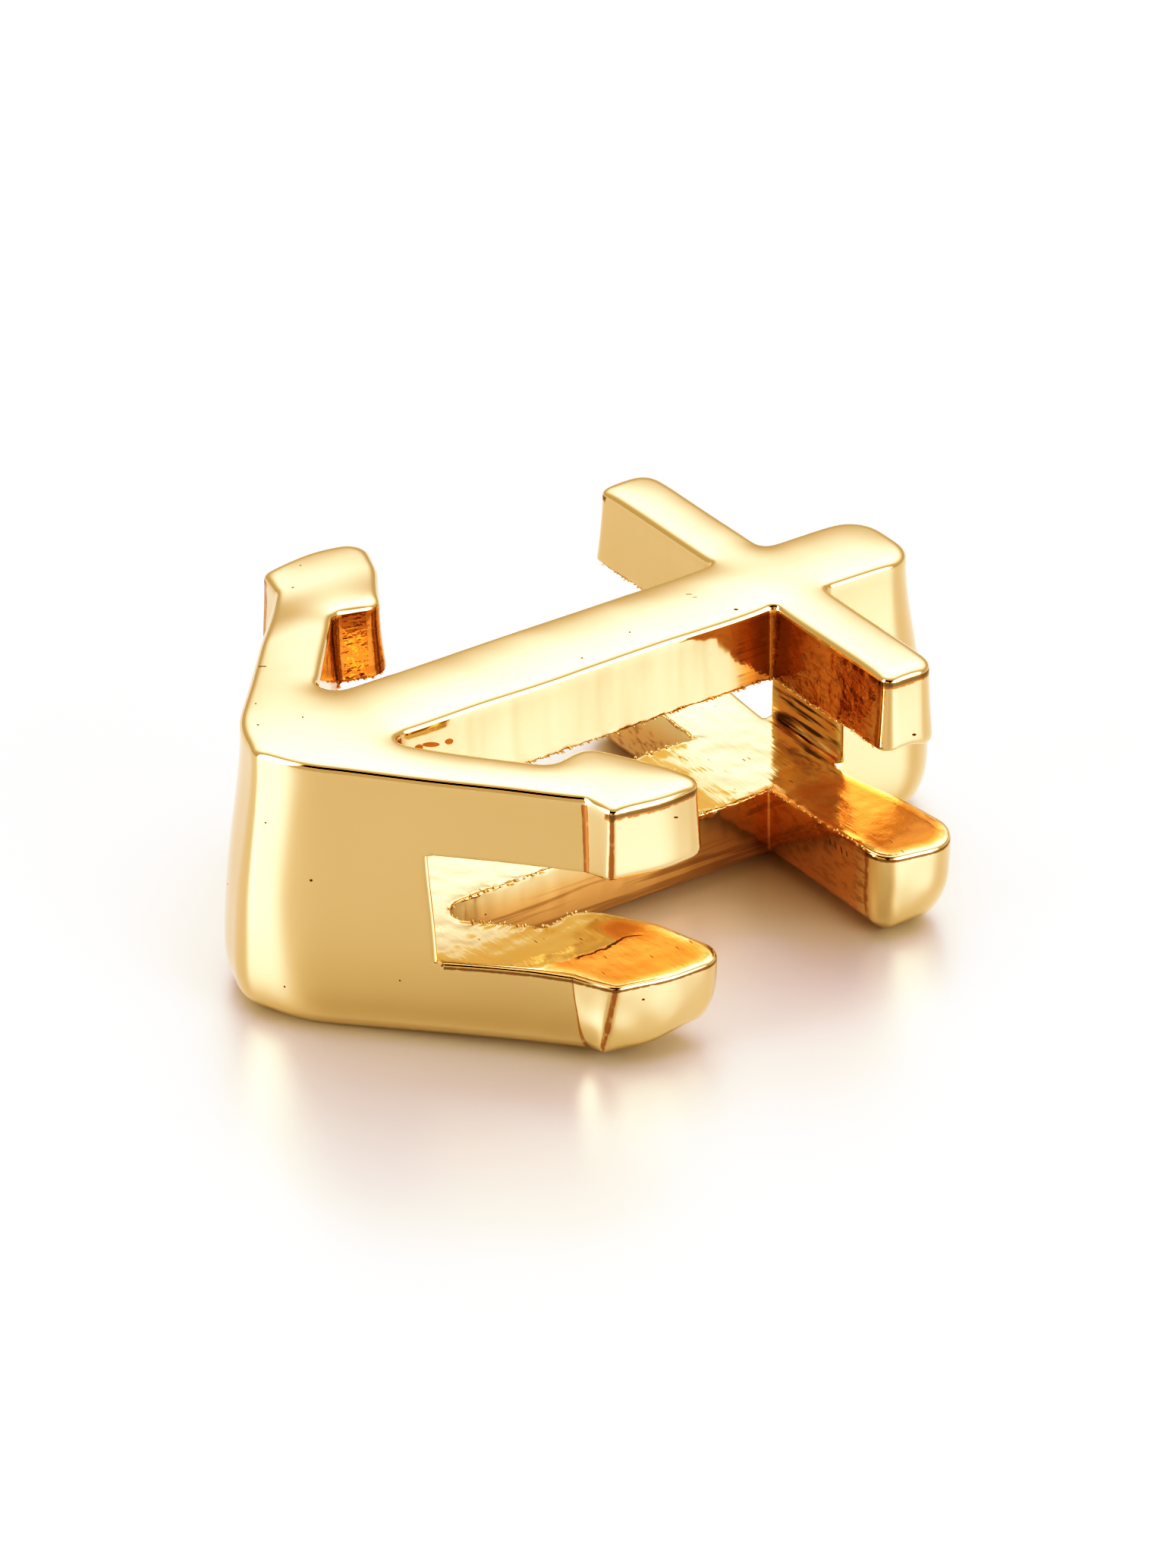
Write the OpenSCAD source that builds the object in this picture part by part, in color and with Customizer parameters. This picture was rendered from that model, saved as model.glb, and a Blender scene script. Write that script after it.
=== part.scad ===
// Anchor slider charm: two anchor-shaped plates cast in one piece with a crown block and a ring-end
// block, and a flat slot right through from side to side for a 10 mm strap.
// It lies flat on its lower plate. +X runs along the stock, +Y from the crown to the ring end, +Z up.
// Sizes are in millimetres. The outline's sizes are those of the upper face.

/* [Anchor outline] */
// Length of the upper face, from the crown's point to the ring end
anchor_len = 14.7; // [13.8:0.1:16]
// Width of the shank
shank_w = 2.0; // [1.6:0.1:2.6]
// Length of the stock, end to end
stock_len = 9.2; // [7:0.1:10]
// Width of the stock
stock_w = 1.2; // [1.1:0.02:1.6]
// How far the ring end stands out past the stock
ring_end_len = 2.28; // [1.6:0.02:3]
// Width of an arm
arm_w = 1.12; // [1:0.02:1.3]
// Distance from the crown's point to the notch between arm and shank
notch_y = 2.1; // [1.9:0.05:2.4]
// Angle between an arm and the stock, in degrees
arm_angle = 41.5; // [38:0.5:45]

/* [Flukes] */
// Half of the width across the two outer barbs
fluke_half_w = 5.7; // [5.4:0.05:6.2]
// Height of the outer barbs above the crown's point
barb_y = 4.12; // [4:0.02:4.3]
// Height of the flukes' tips above the crown's point
tip_y = 6.3; // [6:0.05:6.6]

/* [Slot] */
// Length of the slot along the shank, for a strap 10 mm wide
slot_len = 10.7; // [10.2:0.1:11]
// Height of the slot
slot_h = 2.3; // [2:0.1:2.6]

/* [Plates] */
// Thickness of the lower plate
lower_t = 1.7; // [1.4:0.1:2]
// Thickness of the upper plate
upper_t = 1.7; // [1.4:0.1:2]
// How far the sides stand out past the upper face where the charm is widest
side_draft = 0.33; // [0.2:0.01:0.4]

/* [Hidden] */
gold = "#E8CF8A";

// Steps in the arc of each corner, the smallest radius of a corner that is offset past its own radius, and
// the most of an edge's length that one corner's arc may take
arc_steps = 5;
least_r = 0.15;
arc_share = 0.45;
// Room past the sides for the box that cuts the slot
cut_over = 1;

slot_floor_z = lower_t;
height = lower_t + slot_h + upper_t;

shank_x = shank_w / 2;
stock_x = stock_len / 2;
stock_back_y = anchor_len - ring_end_len;
stock_front_y = stock_back_y - stock_w;
// The slot's wall on the ring side is flush with the stock's back where that is widest
slot_end_y = stock_back_y + side_draft;
slot_start_y = slot_end_y - slot_len;

// The crown comes to a soft point between two shoulders
shoulder = [1.0, 0.43];
crown_r = 0.4;
crown_draft = 1.15;
// The ring end flares out more than the other sides
ring_draft = 1.5;

// The arm's edges: straight lines past the crown's shoulder
function arm_outer(x) = shoulder[1] + (x - shoulder[0]) * tan(arm_angle);
function arm_inner(x) = arm_outer(x) + arm_w / cos(arm_angle);

// Middle of the whole length at the widest level, which is put at y = 0
crown_low_y = crown_r * (norm(shoulder) / shoulder[0] - 1) - crown_draft * side_draft;
ring_high_y = anchor_len + ring_draft * side_draft;
middle_y = (crown_low_y + ring_high_y) / 2;

// The right half of the upper face's outline, from the crown's point to the ring end.
// Each row is a corner: x, y, radius, draft (share of the sides' growth) and belly (share of the lower
// plate's extra rounding).
step_x = fluke_half_w - 0.75;
junction_x = fluke_half_w - 2.1;
half_outline = [
    [0, 0, crown_r, crown_draft, 0],                            // crown's point
    [shoulder[0], shoulder[1], 3, crown_draft, 0],              // crown's shoulder
    [step_x, arm_outer(step_x), 0.5, 0.6, 0.3],                 // hollow before the outer barb
    [fluke_half_w, barb_y, 0.22, 0.5, 0.8],                     // outer barb
    [fluke_half_w + 0.15, (barb_y + tip_y) / 2, 2.5, 0.6, 1],   // belly of the end face
    [fluke_half_w + 0.02, tip_y, 0.28, 1, 1],                   // tip
    [fluke_half_w - 1.15, tip_y - 0.45, 2, 1, 0.4],             // back of the fluke
    [junction_x - 0.25, tip_y - 1.15, 0.4, 1, 0],               // inner barb
    [junction_x, arm_inner(junction_x), 0.3, 1, 0],             // where the fluke joins the arm
    [shank_x, notch_y, 0.3, 1, 0],                              // notch between arm and shank
    [shank_x, stock_front_y, 0.14, 0.8, 0],                     // shank to stock
    [stock_x, stock_front_y, 0.2, 0.9, 0],                      // stock's front corner
    [stock_x, stock_back_y, 0.3, 1, 0],                         // stock's back corner
    [shank_x, stock_back_y, 0.14, 0.8, 0],                      // stock to ring end
    [shank_x, anchor_len, 0.7, ring_draft, 0]                   // ring end's corner
];

// The sides' profile, bottom to top: z, growth of the outline past the upper face's, inset by the rounded
// edge, and extra inset of the flukes' bellies
levels = [
    [0, 0.1, 0.38, 0.22],                                       // flat that it rests on
    [0.03, 0.12, 0.28, 0.21],
    [0.1, 0.16, 0.19, 0.19],
    [0.22, 0.2, 0.11, 0.16],
    [0.4, 0.25, 0.05, 0.12],
    [0.65, 0.3, 0.02, 0.08],
    [1.0, side_draft, 0, 0.04],                                 // widest, a little under the slot's floor
    [1.35, side_draft, 0, 0.01],
    [1.7, 0.98 * side_draft, 0, 0],
    [2.25, 0.88 * side_draft, 0, 0],
    [3.0, 0.65 * side_draft, 0, 0],
    [3.75, 0.4 * side_draft, 0, 0],
    [4.6, 0.15 * side_draft, 0, 0],
    [height - 0.35, 0, 0, 0],
    [height - 0.22, 0, 0.03, 0],                                // rounded upper edge
    [height - 0.13, 0, 0.08, 0],
    [height - 0.07, 0, 0.15, 0],
    [height - 0.03, 0, 0.25, 0],
    [height, 0, 0.38, 0]
];

// The whole outline, with the left half mirrored
half_n = len(half_outline);
outline = concat(
    half_outline,
    [for (i = [half_n - 1 : -1 : 1]) let (c = half_outline[i]) [-c[0], c[1], c[2], c[3], c[4]]]
);
n = len(outline);

function corner(i) = [outline[(i + n) % n][0], outline[(i + n) % n][1]];
function edge_dir(i) = let (d = corner(i + 1) - corner(i)) d / norm(d);
// How far corner i's two edges stand out at a level
function growth(i, level) = let (c = outline[(i + n) % n]) level[1] * c[3] - level[2] - level[3] * c[4];

// Corner i moved out along its mitre
function moved_corner(i, level) = let (a = edge_dir(i - 1), b = edge_dir(i))
    corner(i) + growth(i, level) / (1 + a * b) * [a[1] + b[1], -a[0] - b[0]];
function moved_edge(i, level) = moved_corner((i + 1) % n, level) - moved_corner((i + n) % n, level);

// The arc of corner i: tangent to both edges, with its radius changed by the growth
function corner_arc(i, level) = let (
    before = moved_edge(i - 1, level),
    after = moved_edge(i, level),
    a = before / norm(before),
    b = after / norm(after),
    side = sign(a[0] * b[1] - a[1] * b[0]),
    half_turn = acos(a * b) / 2,
    grown_r = max(least_r, outline[i][2] + side * growth(i, level)),
    r = min(grown_r, arc_share * min(norm(before), norm(after)) / tan(half_turn)),
    start = moved_corner(i, level) - r * tan(half_turn) * a,
    centre = start + side * r * [-a[1], a[0]]
) [for (k = [0 : arc_steps]) let (w = side * 2 * half_turn * k / arc_steps, v = start - centre)
    centre + [v[0] * cos(w) - v[1] * sin(w), v[0] * sin(w) + v[1] * cos(w)]];

function ring(level) = [for (i = [0 : n - 1]) each corner_arc(i, level)];
function ring_points(level) = [for (p = ring(level)) [p[0], p[1] - middle_y, level[0]]];

// Numbers of the points of corner i's arc, and of a loop's mirror image in the other half of the ring
m = n * (arc_steps + 1);
last = arc_steps;
mid = floor(arc_steps / 2);
function arc(i, from = 0, to = last) = [for (k = [from : from > to ? -1 : 1 : to]) i * (arc_steps + 1) + k];
function mirrored(loop) = [for (j = [len(loop) - 1 : -1 : 0]) (m + last - loop[j]) % m];
function band(a, b) = [for (j = [0 : len(a) - 2]) [a[j], a[j + 1], b[j + 1], b[j]]];
// A band from a stretch of the right side straight across to the left side
function cross_band(a) = let (b = mirrored(a)) band(a, [for (j = [len(b) - 1 : -1 : 0]) b[j]]);

// The flat faces, cut into convex pieces: each is a loop of the ring's points
arm_pieces = concat(
    [concat(arc(1, last), arc(9, 0, mid))],                                     // beside the notch
    band(concat(arc(1, last), arc(2)), concat(arc(9, 0, 0), arc(8, last, 0))),  // arm
    [concat(arc(2, last), arc(3), arc(4), arc(5), arc(6), arc(7), arc(8, 0, 0))] // fluke
);
stock_side = concat(arc(10, last), arc(11), arc(12, 0, mid));
stock_back = concat(arc(12, mid + 1), arc(13, 0, 0));
flat_pieces = concat(
    [concat(arc(0), arc(1), arc(9, mid, mid), mirrored(concat(arc(1), arc(9, mid, mid))))],
    arm_pieces,
    [for (piece = arm_pieces) mirrored(piece)],
    cross_band(concat(arc(9, mid), arc(10))),                                   // shank
    [concat(stock_back, mirrored(concat(stock_side, stock_back)), stock_side)],
    cross_band(concat(arc(13), arc(14)))                                        // ring end
);

// The anchor's body without its slot: rings of points, one for each level, joined into a closed skin
module anchor_loft() {
    top = (len(levels) - 1) * m;
    polyhedron(
        points = [for (level = levels) each ring_points(level)],
        faces = concat(
            flat_pieces,
            [for (piece = flat_pieces) [for (j = [len(piece) - 1 : -1 : 0]) top + piece[j]]],
            [for (j = [0 : len(levels) - 2], k = [0 : m - 1]) let (p = j * m + k, q = j * m + (k + 1) % m)
                [p, p + m, q + m]],
            [for (j = [0 : len(levels) - 2], k = [0 : m - 1]) let (p = j * m + k, q = j * m + (k + 1) % m)
                [p, q + m, q]]
        )
    );
}

// The casting: the loft with the strap's slot cut through it from side to side
module anchor_slider() {
    reach = fluke_half_w + cut_over;
    color(gold)
    difference() {
        anchor_loft();
        translate([-reach, slot_start_y - middle_y, slot_floor_z])
            cube([2 * reach, slot_len, slot_h]);
    }
}

anchor_slider();
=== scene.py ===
import math

import bpy
import numpy as np
from mathutils import Matrix, Vector, bvhtree, geometry, noise


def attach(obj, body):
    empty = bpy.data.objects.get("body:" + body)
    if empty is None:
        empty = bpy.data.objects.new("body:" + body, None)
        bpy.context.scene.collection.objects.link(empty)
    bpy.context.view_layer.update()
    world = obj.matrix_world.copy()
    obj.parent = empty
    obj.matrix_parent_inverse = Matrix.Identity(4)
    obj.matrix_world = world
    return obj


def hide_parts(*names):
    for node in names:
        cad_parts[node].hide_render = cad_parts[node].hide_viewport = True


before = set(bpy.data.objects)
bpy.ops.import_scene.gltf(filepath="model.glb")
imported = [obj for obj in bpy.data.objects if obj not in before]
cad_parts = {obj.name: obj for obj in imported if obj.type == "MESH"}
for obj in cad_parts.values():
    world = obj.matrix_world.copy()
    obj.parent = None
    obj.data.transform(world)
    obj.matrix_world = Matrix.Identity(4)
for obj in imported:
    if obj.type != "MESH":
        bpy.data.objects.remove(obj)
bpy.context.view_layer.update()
mm = 0.001
rootBody = "root"


def newObject(name, data):
    made = bpy.data.objects.new(name, data)
    bpy.context.scene.collection.objects.link(made)
    return made


# The photograph's camera: a long lens looking down on the charm from the front right of its crown
view = {
    "azimuth": 54.87, "elevation": 29.51,              # degrees round from +Y and above the floor
    "focalPixels": 15000, "pixelsPerMm": 69.43, "middlePixel": (775, 1033),
    "longSide": 2066, "sensor": 36, "clip": (0.01, 20),
    "middle": (0, 0, 2.7), "aim": (0.1482, -0.2480),   # mm: a point, and the aim's shift right and up from it
}


def makeCamera():
    a, e = math.radians(view["azimuth"]), math.radians(view["elevation"])
    forward = Vector((-math.sin(a) * math.cos(e), math.cos(a) * math.cos(e), -math.sin(e)))
    right = Vector((math.cos(a), math.sin(a), 0))
    up = right.cross(forward)
    away = view["focalPixels"] / view["pixelsPerMm"]
    spot = Vector(view["middle"]) + right * view["aim"][0] + up * view["aim"][1] - forward * away
    data = bpy.data.cameras.new("photoCamera")
    data.sensor_width = view["sensor"]
    data.lens = view["focalPixels"] / view["longSide"] * view["sensor"]
    data.clip_start, data.clip_end = view["clip"]
    camera = newObject("photoCamera", data)
    turn = Matrix((right, up, -forward)).transposed()
    camera.matrix_world = Matrix.Translation(spot * mm) @ turn.to_4x4()
    bpy.context.scene.camera = camera
    return spot, right, up, forward * away


spot, right, up, aim = makeCamera()
print("camera ready")


# The casting's sizes in mm. The outline's are those of the upper face, with y = 0 at the crown's point.
casting = {
    "anchorLen": 14.7, "shankW": 2.0, "stockLen": 9.2, "stockW": 1.2, "ringEndLen": 2.28,
    "armW": 1.12, "notchY": 2.1, "armAngle": 41.5, "shoulder": (1.0, 0.43),
    "flukeHalfW": 5.7, "barbY": 4.12, "tipY": 6.3,
    "hollowIn": 0.75, "joinIn": 2.1,         # in from the outer barb to its hollow and to the fluke's joint
    "slotLen": 10.7, "slotH": 2.3, "lowerT": 1.7, "upperT": 1.7,
    "sideDraft": 0.33, "crownDraft": 1.15, "ringDraft": 1.5,
    "widestZ": 1.2, "straightZ": 5.4,        # where the sides are widest, and where they turn upright
    "tuck": 0.7, "tuckCurve": 2.6,           # share of the draft that they lose again down to the bottom
    "bottomR": 0.45, "bottomRows": 11,
    "edgeRun": 0.17, "edgeDrop": 0.15,       # the rounded upper edge's two half axes
    "domeReach": 0.7, "domeRise": 0.14,      # the upper face swells on past its edge
    "soften": 0.35,                          # how far the outer corners of the upper face are polished down
    "belly": 0.22, "bellyZ": 1.6, "bellyCurve": 1.6,   # extra rounding under the flukes, up to this height
    "leastR": 0.05, "arcShare": 0.45, "arcSteps": 8,
    "columnStep": 0.09, "rowStep": 0.15, "gridStep": 0.1, "slotStep": 0.085, "coarser": 1.6, "sharp": 60,
    "rimSteps": (0.016, 0.04, 0.08, 0.13, 0.2, 0.3), "rimRoom": 0.85,
    "topSteps": (0.006, 0.02, 0.042, 0.07, 0.105, 0.15, 0.2, 0.26, 0.33),
}
# Hand finishing left the two sides unlike: +1 is the near side, -1 the far one
sideShape = {
    1: {"foot": 0.35, "hollow": 0.11, "hollowR": 0.28, "barb": (-0.03, -0.02), "barbR": 0.16,
        "wide": 0, "tip": 0, "tipR": 0.34, "armOut": 0, "belly": 0.6, "stock": 0},
    -1: {"foot": 1, "hollow": 0, "hollowR": 0.5, "barb": (0, 0), "barbR": 0.22,
         "wide": 0.14, "tip": 0.14, "tipR": 0.48, "armOut": 0.08, "belly": 1, "stock": 0.22},
}
# Filing moved some near corners along their height: corner number, then rows of z and the shift in x and y
filed = {
    2: ((0, 0.03, 0.03), (1.7, -0.16, -0.14), (4.0, 0.02, 0.02), (5.7, -0.05, -0.04)),
    3: ((0, -0.19, -0.07), (0.6, -0.12, 0), (1.7, 0, 0.17), (4.0, 0, 0.04), (5.7, 0, 0.04)),
    12: ((0, -0.05, -0.05), (1.0, 0.15, 0.1), (1.7, 0.18, 0.12), (4.0, 0.03, 0), (5.7, 0, 0)),
}
# The near notch's foot was left rounder low down: rows of z and extra radius
notchCorner, notchFoot = 9, ((1.7, 0.5), (4.0, 0))
# Stretches of one half of the outline, by its corners from the crown; a half is the edge past a corner.
# The buff missed the inner one, from the inner barb to the stock.
ringCorner = 13
stretches = {
    "arm": (0, 2.5), "endFace": (3, 5.5), "inner": (7, 10.5), "stockEnd": (11, 12), "stockSide": (11.5, 12),
    "ringEnd": (13.5, 14.5),
}
# Radius of the slot's rims in mm: floor rims by stretch, the roof's, the two end walls', and the most where a
# wall's rim meets another
rims = {
    "crown": 0.1, "endFace": 0.1, "inner": 0.05, "ring": 0.06, "roof": 0.05, "roofEnd": 0.2,
    "crownWall": 0.22, "ringWall": 0.05, "meeting": 0.1,
}
blends = {"rim": 5, "buff": 4, "edgeLine": 1}     # columns to each side over which a value fades into the next
# Darker lines in the gold's colour. An edge line runs down an upright edge: a corner, counted back from the
# crown on the far side, and columns before and past its middle. A faint line runs by the inner rims. The dark
# one under the outer rim and under the end faces' upper edge is a painted reflection of the dark surroundings
# in the rounded edge.
rimAndEdgeLines = {
    "edgeLines": ((2, -3, 4), (3, -1, 2), (11, -4, -3), (-3, 0, 6), (-2, -1, 2)),
    "edgeLine": 1.2, "edgeLineInset": 0.2, "dark": 2.2, "darkStep": 2,
    "faint": 0.85, "faintAway": 0.03, "faintReach": 0.035,
}


def outlineRows(side):
    # Corners of one half, crown to ring end: x, y, radius, and shares of the sides' growth, of the belly's
    # rounding and of the bottom edge's
    c, h = casting, sideShape[side]
    angle = math.radians(c["armAngle"])
    slope = math.tan(angle)
    width = c["armW"] / math.cos(angle)
    outX, outY = h["armOut"] * math.sin(angle), -h["armOut"] * math.cos(angle)
    shoulderX, shoulderY = c["shoulder"]
    stepX, joinX = c["flukeHalfW"] - c["hollowIn"] + h["hollow"], c["flukeHalfW"] - c["joinIn"]
    shankX, stockX = c["shankW"] / 2, c["stockLen"] / 2 + h["stock"]
    backY = c["anchorLen"] - c["ringEndLen"]
    frontY = backY - c["stockW"]
    half = c["flukeHalfW"] + h["wide"]
    tipY = c["tipY"] + h["tip"]
    b, foot = h["belly"], h["foot"]
    midFoot = (1 + foot) / 2
    hollowY = shoulderY + (stepX - shoulderX) * slope
    return [
        (0, 0, 0.4, c["crownDraft"], 0, 1),  # crown's point
        (shoulderX + outX, shoulderY + outY, 3, c["crownDraft"], 0, midFoot),  # shoulder
        (stepX + outX, hollowY + outY, h["hollowR"], 0.6, 0.3, foot),  # hollow by the barb
        (half + h["barb"][0], c["barbY"] + h["barb"][1], h["barbR"], 0.5, 0.8 * b, midFoot),  # outer barb
        (half + 0.15, (c["barbY"] + tipY) / 2, 2.5, 0.6, b, 1),  # belly of the end face
        (half + 0.02, tipY, h["tipR"], 1, b, 1),  # tip
        (half - 1.15, tipY - 0.45, 2, 1, 0.4, 1),  # back of the fluke
        (joinX - 0.25, c["tipY"] - 1.15, 0.4, 1, 0, 1),  # inner barb
        (joinX, shoulderY + (joinX - shoulderX) * slope + width, 0.3, 1, 0, 1),  # fluke to arm
        (shankX, c["notchY"], 0.3, 1, 0, 1),  # notch
        (shankX, frontY, 0.14, 0.8, 0, 1.3),  # shank to stock
        (stockX, frontY, 0.22, 0.9, 0, 1),  # stock's front corner
        (stockX, backY, 0.42, 1, 0, 1.2),  # stock's back corner
        (shankX, backY, 0.14, 0.5, 0, 1),  # stock to ring end
        (shankX, c["anchorLen"], 0.7, c["ringDraft"], 0, 1),  # ring end
    ]


def unit(v):
    return v / np.linalg.norm(v, axis=-1, keepdims=True)


def between(start, end, steps):
    # The points inside a straight line that is cut into so many steps
    return start + (end - start) * (np.arange(1, steps)[:, None] / steps)


class Outline:
    # The anchor's closed outline, whose columns stay matched from one height to the next
    def __init__(self):
        near, far = outlineRows(1), outlineRows(-1)
        rows = near + [(-x, y, *rest) for x, y, *rest in reversed(far[1:])]
        table = np.array(rows, float)
        self.points = table[:, :2]
        self.radius, self.draft, self.belly, self.foot = table[:, 2:].T
        self.count = len(rows)
        slotEnd = casting["anchorLen"] - casting["ringEndLen"] + casting["sideDraft"]
        slotStart = slotEnd - casting["slotLen"]
        # Edges that cross a wall of the slot: the arms' outer edges and the ring end's sides
        walls = (1, ringCorner, self.count - 1 - ringCorner, self.count - 2)
        self.crossings = dict(zip(walls, (slotStart, slotEnd, slotEnd, slotStart)))
        crown = np.hypot(*casting["shoulder"]) / casting["shoulder"][0]
        low = rows[0][2] * (crown - 1) - casting["crownDraft"] * casting["sideDraft"]
        high = casting["anchorLen"] + casting["ringDraft"] * casting["sideDraft"]
        self.middleY = (low + high) / 2
        self.plan = self.columnPlan()

    def arcs(self, z, inset=0, footed=False):
        # Each corner's arc at a height; a footed inset is shared out among the corners
        p = self.points.copy()
        for number, rows in filed.items():
            levels, *shift = zip(*rows)
            p[number] += [np.interp(z, levels, s) for s in shift]
        out = growthAt(z) * self.draft - inset * (self.foot if footed else 1) - bellyAt(z) * self.belly
        into = unit(p - np.roll(p, 1, 0))
        leave = np.roll(into, -1, 0)
        dot = (into * leave).sum(1)
        mitre = np.stack([into[:, 1] + leave[:, 1], -into[:, 0] - leave[:, 0]], 1)
        moved = p + (out / (1 + dot))[:, None] * mitre
        before = moved - np.roll(moved, 1, 0)
        after = np.roll(before, -1, 0)
        a, b = unit(before), unit(after)
        side = np.sign(a[:, 0] * b[:, 1] - a[:, 1] * b[:, 0])
        half = np.arccos(np.clip((a * b).sum(1), -1, 1)) / 2
        radius = self.radius + side * out
        radius[notchCorner] += np.interp(z, *zip(*notchFoot))
        r = np.maximum(casting["leastR"], radius)
        room = np.minimum(np.linalg.norm(before, axis=1), np.linalg.norm(after, axis=1))
        r = np.minimum(r, casting["arcShare"] * room / np.tan(half))
        start = moved - (r * np.tan(half))[:, None] * a
        centre = start + (side * r)[:, None] * np.stack([-a[:, 1], a[:, 0]], 1)
        v = start - centre
        steps = casting["arcSteps"]
        w = (side * 2 * half)[:, None] * np.arange(steps + 1)[None] / steps
        x = centre[:, None, 0] + v[:, None, 0] * np.cos(w) - v[:, None, 1] * np.sin(w)
        y = centre[:, None, 1] + v[:, None, 0] * np.sin(w) + v[:, None, 1] * np.cos(w)
        return np.stack([x, y], -1)

    def columnPlan(self):
        # How many steps each straight edge takes: two numbers where it crosses a wall of the slot
        arcs = self.arcs(casting["straightZ"])
        plan = []
        for i in range(self.count):
            start, end = arcs[i, -1], arcs[(i + 1) % self.count, 0]
            length = np.linalg.norm(end - start)
            shares = (1,)
            if i in self.crossings:
                t = (self.crossings[i] - start[1]) / (end[1] - start[1])
                shares = (t, 1 - t)
            plan.append([max(len(shares), round(length * t / casting["columnStep"])) for t in shares])
        return plan

    def ring(self, z, inset=0, footed=False):
        # All columns' points at a height, y = 0 at the middle of the whole length. Columns stand close where
        # an edge crosses a wall of the slot, and closer still where the edge ends too soon.
        arcs = self.arcs(z, inset, footed)
        fine = np.array(casting["rimSteps"])
        parts, marks, owner = [], [], []
        for i in range(self.count):
            start, end = arcs[i, -1], arcs[(i + 1) % self.count, 0]
            parts.append(arcs[i])
            owner += [i] * len(arcs[i])
            if i in self.crossings:
                first, second = self.plan[i]
                cross = start + (end - start) * (self.crossings[i] - start[1]) / (end[1] - start[1])
                rooms = (casting["rimRoom"] * np.linalg.norm(d) for d in (cross - start, end - cross))
                before, after = (np.interp(fine, (0, fine[1], fine[-1]), (0, fine[1], min(fine[-1], room)))
                                 for room in rooms)
                steps = np.concatenate([-before[::-1], [0], after])
                near = cross + steps[:, None] * unit(end - start)
                lead, tail = between(start, near[0], first), between(near[-1], end, second)
                marks.append(len(owner) + len(lead) + len(fine))
                line = np.concatenate([lead, near, tail])
            else:
                line = between(start, end, self.plan[i][0])
            parts.append(line)
            owner += [i + 0.5] * len(line)
        self.marks, self.owner = marks, np.array(owner)
        flat = np.concatenate(parts)
        flat[:, 1] -= self.middleY
        return flat


def growthAt(z):
    # Barrel-shaped sides: widest a little under the slot's floor, upright near the top
    c = casting
    if z >= c["widestZ"]:
        u = min(1, (z - c["widestZ"]) / (c["straightZ"] - c["widestZ"]))
        return c["sideDraft"] * (1 - u * u) ** 2
    v = (c["widestZ"] - z) / c["widestZ"]
    return c["sideDraft"] * (1 - c["tuck"] * v ** c["tuckCurve"])


def bellyAt(z):
    return casting["belly"] * max(0, 1 - z / casting["bellyZ"]) ** casting["bellyCurve"]


def heights(low, high, fineLow, fineHigh):
    # Row heights between two levels, close together next to a rim
    fine = casting["rimSteps"]
    start = [low + f for f in fine] if fineLow else []
    end = [high - f for f in reversed(fine)] if fineHigh else []
    a = start[-1] if start else low
    b = end[0] if end else high
    steps = max(1, round((b - a) / casting["rowStep"]))
    return start + [a + (b - a) * k / steps for k in range(1, steps)] + end


def sideRows():
    # Rows of the sides, bottom to top: z and inset; and which of them are the slot's floor and roof
    c = casting
    floor, roof = c["lowerT"], c["lowerT"] + c["slotH"]
    turns = [math.radians(t) for t in np.linspace(-90, 0, c["bottomRows"])]
    rows = [(c["bottomR"] * (1 + math.sin(t)), c["bottomR"] * (1 - math.cos(t))) for t in turns]
    rows += [(z, 0) for z in heights(c["bottomR"], floor, False, True)]
    floorRow = len(rows)
    rows += [(z, 0) for z in [floor] + heights(floor, roof, True, True)]
    roofRow = len(rows)
    edgeZ = roof + c["upperT"] - c["edgeDrop"] - c["domeRise"]
    rows += [(z, 0) for z in [roof] + heights(roof, edgeZ, True, False) + [edgeZ]]
    return rows, floorRow, roofRow


def insideLoop(points, loop):
    inside = np.zeros(len(points), bool)
    for (ax, ay), (bx, by) in zip(loop, np.roll(loop, -1, 0)):
        if ay != by:
            hit = (ay > points[:, 1]) != (by > points[:, 1])
            inside ^= hit & (points[:, 0] < (bx - ax) * (points[:, 1] - ay) / (by - ay) + ax)
    return inside


def loopDistance(points, loop):
    best = np.full(len(points), 1e9)
    for p, q in zip(loop, np.roll(loop, -1, 0)):
        d = q - p
        size = d @ d
        if size > 1e-12:
            t = np.clip(((points - p) @ d) / size, 0, 1)
            best = np.minimum(best, ((points - p - t[:, None] * d) ** 2).sum(1))
    return np.sqrt(best)


def fillLoop(loop, step):
    # Triangles that fill a closed loop with an even grid inside; the loop's own points come first
    low, high = loop.min(0), loop.max(0)
    grid = []
    for k, y in enumerate(np.arange(low[1] + step / 2, high[1], step * math.sqrt(3) / 2)):
        xs = np.arange(low[0] + (step / 2 if k % 2 else 0), high[0], step)
        grid.append(np.stack([xs, np.full(len(xs), y)], 1))
    grid = np.concatenate(grid)
    grid = grid[insideLoop(grid, loop)]
    grid = grid[loopDistance(grid, loop) > step * 0.55]     # closer points would make slivers
    points = np.concatenate([loop, grid])
    made = geometry.delaunay_2d_cdt([Vector(p) for p in points], [], [list(range(len(loop)))], 1, 1e-6)
    source = [s[0] for s in made[3]]
    tris = [[source[v] for v in f] for f in made[2]]
    a, b, c = (points[[t[k] for t in tris]] for k in range(3))
    turn = (b[:, 0] - a[:, 0]) * (c[:, 1] - a[:, 1]) - (b[:, 1] - a[:, 1]) * (c[:, 0] - a[:, 0])
    return points, [t if s > 0 else t[::-1] for t, s in zip(tris, turn)]


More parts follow.
